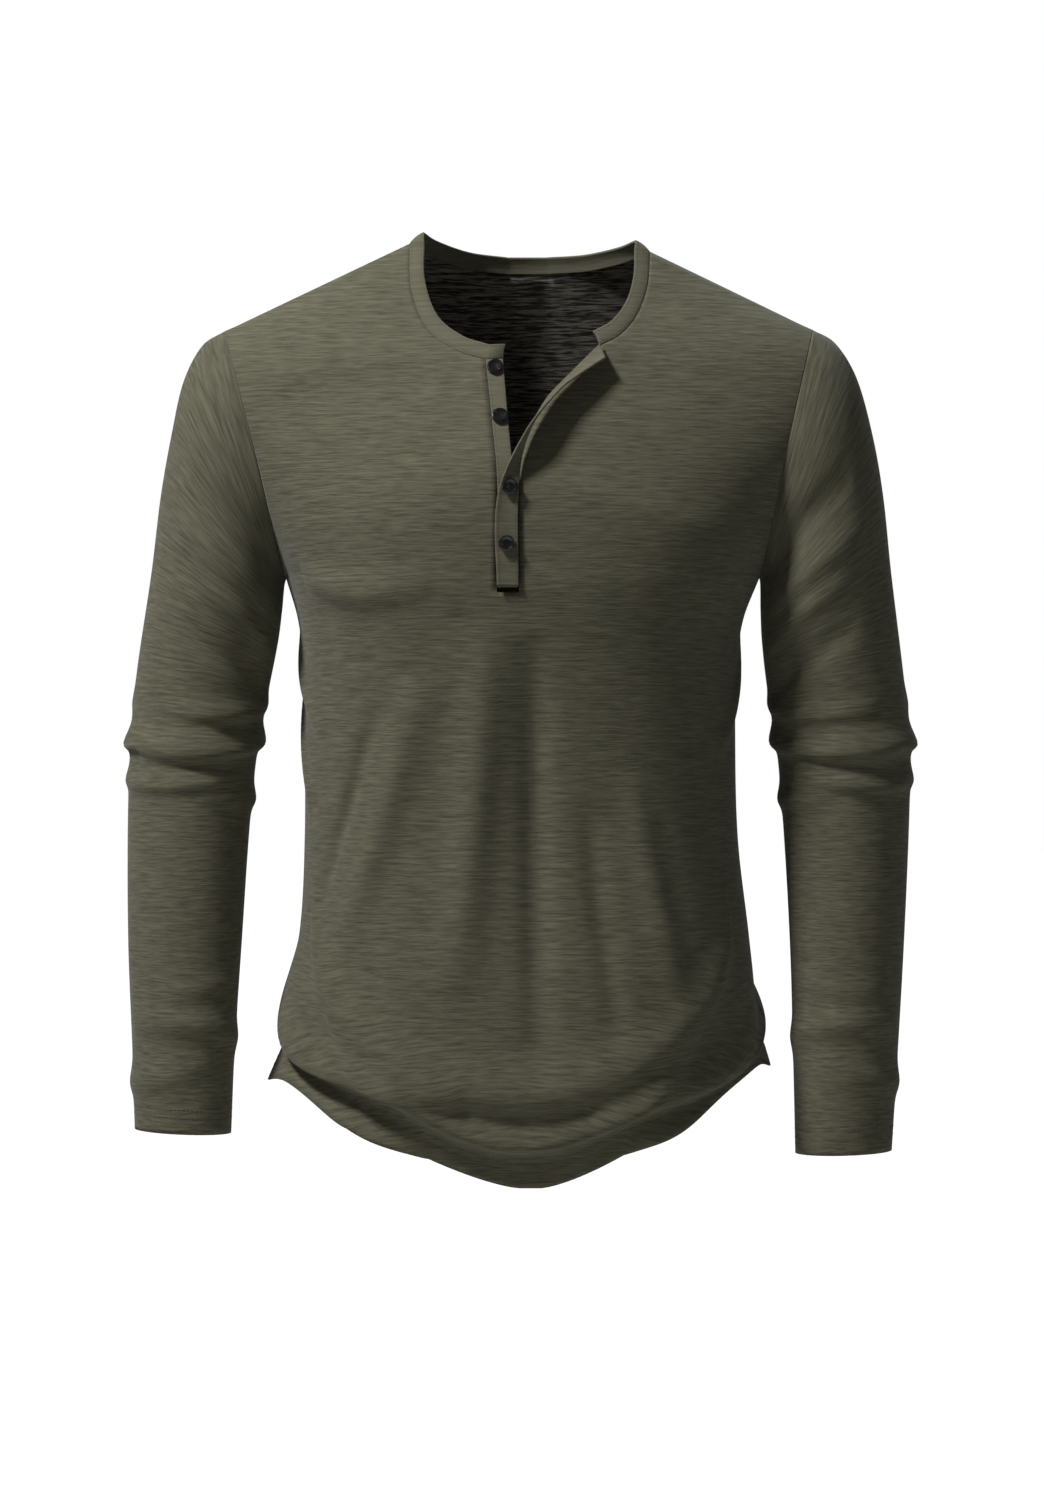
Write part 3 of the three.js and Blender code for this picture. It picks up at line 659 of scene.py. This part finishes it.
# Buttons: 12 mm turned black resin with a raised rim, polished.
button_finish = bpy.data.materials.new("black_resin")
button_finish.use_nodes = True
gloss = button_finish.node_tree.nodes["Principled BSDF"]
gloss.inputs["Base Color"].default_value = (0.008, 0.008, 0.009, 1)
gloss.inputs["Roughness"].default_value = 0.18
gloss.inputs["Coat Weight"].default_value = 0.6
for number in (1, 2, 3, 4):
    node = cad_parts[f"button_{number}"]
    node.data.materials.clear()
    node.data.materials.append(button_finish)

# Stitching: twin rows of thread above the hem and the cuffs, along both edges of the neckband and
# down both edges of each placket strip, each stitch a short rounded lump of thread on the cloth.
thread = bpy.data.materials.new("thread")
thread.use_nodes = True
twist = thread.node_tree.nodes["Principled BSDF"]
twist.inputs["Base Color"].default_value = (0.085, 0.08, 0.055, 1)
twist.inputs["Roughness"].default_value = 0.7


STITCH_PITCH, STITCH_LENGTH, STITCH_THICKNESS = 0.0032, 0.0022, 0.00035


def stitch_tree():
    """Lines of stitches of a given pitch, length and thickness, laid along the given edges."""
    tree = bpy.data.node_groups.new("stitch_rows", "GeometryNodeTree")
    tree.interface.new_socket(name="Geometry", in_out="INPUT", socket_type="NodeSocketGeometry")
    sizes = (("Pitch", STITCH_PITCH), ("Length", STITCH_LENGTH), ("Thickness", STITCH_THICKNESS))
    for name, value in sizes:
        socket = tree.interface.new_socket(name=name, in_out="INPUT", socket_type="NodeSocketFloat")
        socket.default_value = value
    tree.interface.new_socket(name="Geometry", in_out="OUTPUT", socket_type="NodeSocketGeometry")
    nodes, links = tree.nodes, tree.links
    start, end = nodes.new("NodeGroupInput"), nodes.new("NodeGroupOutput")
    curve = nodes.new("GeometryNodeMeshToCurve")
    spaced = nodes.new("GeometryNodeResampleCurve")
    spaced.mode = "LENGTH"
    lump = nodes.new("GeometryNodeMeshIcoSphere")
    lump.inputs["Radius"].default_value = 0.5
    lump.inputs["Subdivisions"].default_value = 1
    tangent = nodes.new("GeometryNodeInputTangent")
    align = nodes.new("FunctionNodeAlignRotationToVector")
    align.axis = "X"
    shape = nodes.new("ShaderNodeCombineXYZ")
    placed = nodes.new("GeometryNodeInstanceOnPoints")
    real = nodes.new("GeometryNodeRealizeInstances")
    painted = nodes.new("GeometryNodeSetMaterial")
    painted.inputs["Material"].default_value = thread
    links.new(start.outputs["Geometry"], curve.inputs[0])
    links.new(curve.outputs[0], spaced.inputs["Curve"])
    links.new(start.outputs["Pitch"], spaced.inputs["Length"])
    links.new(tangent.outputs[0], align.inputs["Vector"])
    links.new(start.outputs["Length"], shape.inputs[0])
    links.new(start.outputs["Thickness"], shape.inputs[1])
    links.new(start.outputs["Thickness"], shape.inputs[2])
    links.new(spaced.outputs[0], placed.inputs["Points"])
    links.new(lump.outputs["Mesh"], placed.inputs["Instance"])
    links.new(align.outputs[0], placed.inputs["Rotation"])
    links.new(shape.outputs[0], placed.inputs["Scale"])
    links.new(placed.outputs[0], real.inputs[0])
    links.new(real.outputs[0], painted.inputs[0])
    links.new(painted.outputs[0], end.inputs[0])
    return tree


TWIN_ROWS = (12, 18)
BAND_STITCHES = (2.2, 11.5)
EDGE_COLUMNS = (2, STRIP_COLUMNS - 2)
THREAD_LIFT = 0.1
CUFF_LIFT = 0.25


def net_row(net, above, closed=False):
    """A line over the cloth so many mm above the net's first row."""
    steps = np.linalg.norm(np.diff(net, axis=0), axis=2)
    height = np.concatenate([np.zeros((1, net.shape[1])), np.cumsum(steps, axis=0)])
    normals = normals_of(net, closed)
    points = []
    for c in range(net.shape[1]):
        r = int(np.searchsorted(height[:, c], above)) - 1
        t = (above - height[r, c]) / (height[r + 1, c] - height[r, c])
        points.append(mix(net[r, c], net[r + 1, c], t) + normals[r, c] * THREAD_LIFT)
    if closed:
        points.append(points[0])
    return points


rows = [net_row(net, above) for net in (front_net, back_net) for above in TWIN_ROWS]
for net in sleeve_nets.values():
    for above in TWIN_ROWS:
        line = net_row(net[::-1], above, closed=True)
        outward = np.array(line) - np.mean(line, axis=0)
        rows.append([p + CUFF_LIFT * o / np.linalg.norm(o) for p, o in zip(line, outward)])
rows += [net_row(band_net, above) for above in BAND_STITCHES]
for net in (under_net, over_net):
    rows += [[p + np.array([0, -THREAD_LIFT, 0]) for p in net[:, c]] for c in EDGE_COLUMNS]
vertices = [tuple(point * MM) for row in rows for point in row]
edges, first = [], 0
for row in rows:
    edges += [(first + i, first + i + 1) for i in range(len(row) - 1)]
    first += len(row)
lines_mesh = bpy.data.meshes.new("stitch_lines")
lines_mesh.from_pydata(vertices, edges, [])
lines = bpy.data.objects.new("stitch_lines", lines_mesh)
bpy.context.collection.objects.link(lines)
sewing = lines.modifiers.new("stitches", "NODES")
sewing.node_group = stitch_tree()
evaluated = lines.evaluated_get(bpy.context.evaluated_depsgraph_get())
stitched = bpy.data.meshes.new_from_object(evaluated)
bpy.data.objects.remove(lines)
stitches = bpy.data.objects.new("stitches", stitched)
bpy.context.collection.objects.link(stitches)
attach(stitches, "root")

# Studio: a pale floor well below the shirt and a white sky, both at full strength to the camera
# only. A small high key light stands to the wearer's right, with a weak fill and a light behind.
pale = bpy.data.materials.new("pale")
pale.use_nodes = True
paint = pale.node_tree.nodes["Principled BSDF"]
paint.inputs["Base Color"].default_value = (0.9, 0.9, 0.9, 1)
paint.inputs["Roughness"].default_value = 0.9
paint.inputs["Emission Color"].default_value = (1, 1, 1, 1)
seen = pale.node_tree.nodes.new("ShaderNodeLightPath")
pale.node_tree.links.new(seen.outputs["Is Camera Ray"], paint.inputs["Emission Strength"])
floor_mesh = bpy.data.meshes.new("floor")
FLOOR_REACH, FLOOR_Z = 40, -1.6
floor_turns = ((-1, -1), (1, -1), (1, 1), (-1, 1))
floor_corners = [(x * FLOOR_REACH, y * FLOOR_REACH, FLOOR_Z) for x, y in floor_turns]
floor_mesh.from_pydata(floor_corners, [], [(0, 1, 2, 3)])
floor_mesh.materials.append(pale)
floor = bpy.data.objects.new("floor", floor_mesh)
bpy.context.collection.objects.link(floor)


def area_light(name, place, target, size, power):
    lamp = bpy.data.lights.new(name, "AREA")
    lamp.size = size
    lamp.energy = power
    light = bpy.data.objects.new(name, lamp)
    light.location = place
    light.rotation_euler = (Vector(target) - Vector(place)).to_track_quat("-Z", "Y").to_euler()
    bpy.context.collection.objects.link(light)


area_light("key", (-1.6, -1.1, 2.1), (0, 0, -0.3), 0.5, 105)
area_light("fill", (2.4, -2.6, 0.2), (0, 0, -0.35), 2.0, 3)
area_light("back", (0.6, 1.6, 1.6), (0, 0, -0.2), 1.5, 12)
world = bpy.data.worlds.new("studio")
bpy.context.scene.world = world
world.use_nodes = True
sky, sky_links = world.node_tree.nodes, world.node_tree.links
sky["Background"].inputs["Color"].default_value = (1, 1, 1, 1)
ray = sky.new("ShaderNodeLightPath")
strength = sky.new("ShaderNodeMapRange")
strength.inputs["To Min"].default_value = 0.07
strength.inputs["To Max"].default_value = 1.0
sky_links.new(ray.outputs["Is Camera Ray"], strength.inputs["Value"])
sky_links.new(strength.outputs["Result"], sky["Background"].inputs["Strength"])
lens = bpy.data.cameras.new("camera")
lens.lens = 85
camera = bpy.data.objects.new("camera", lens)
camera.location = (-0.003, -2.668, -0.3855)
camera.rotation_euler = (math.radians(90), 0, 0)
bpy.context.collection.objects.link(camera)
bpy.context.scene.camera = camera
bpy.context.scene.view_settings.view_transform = "Standard"
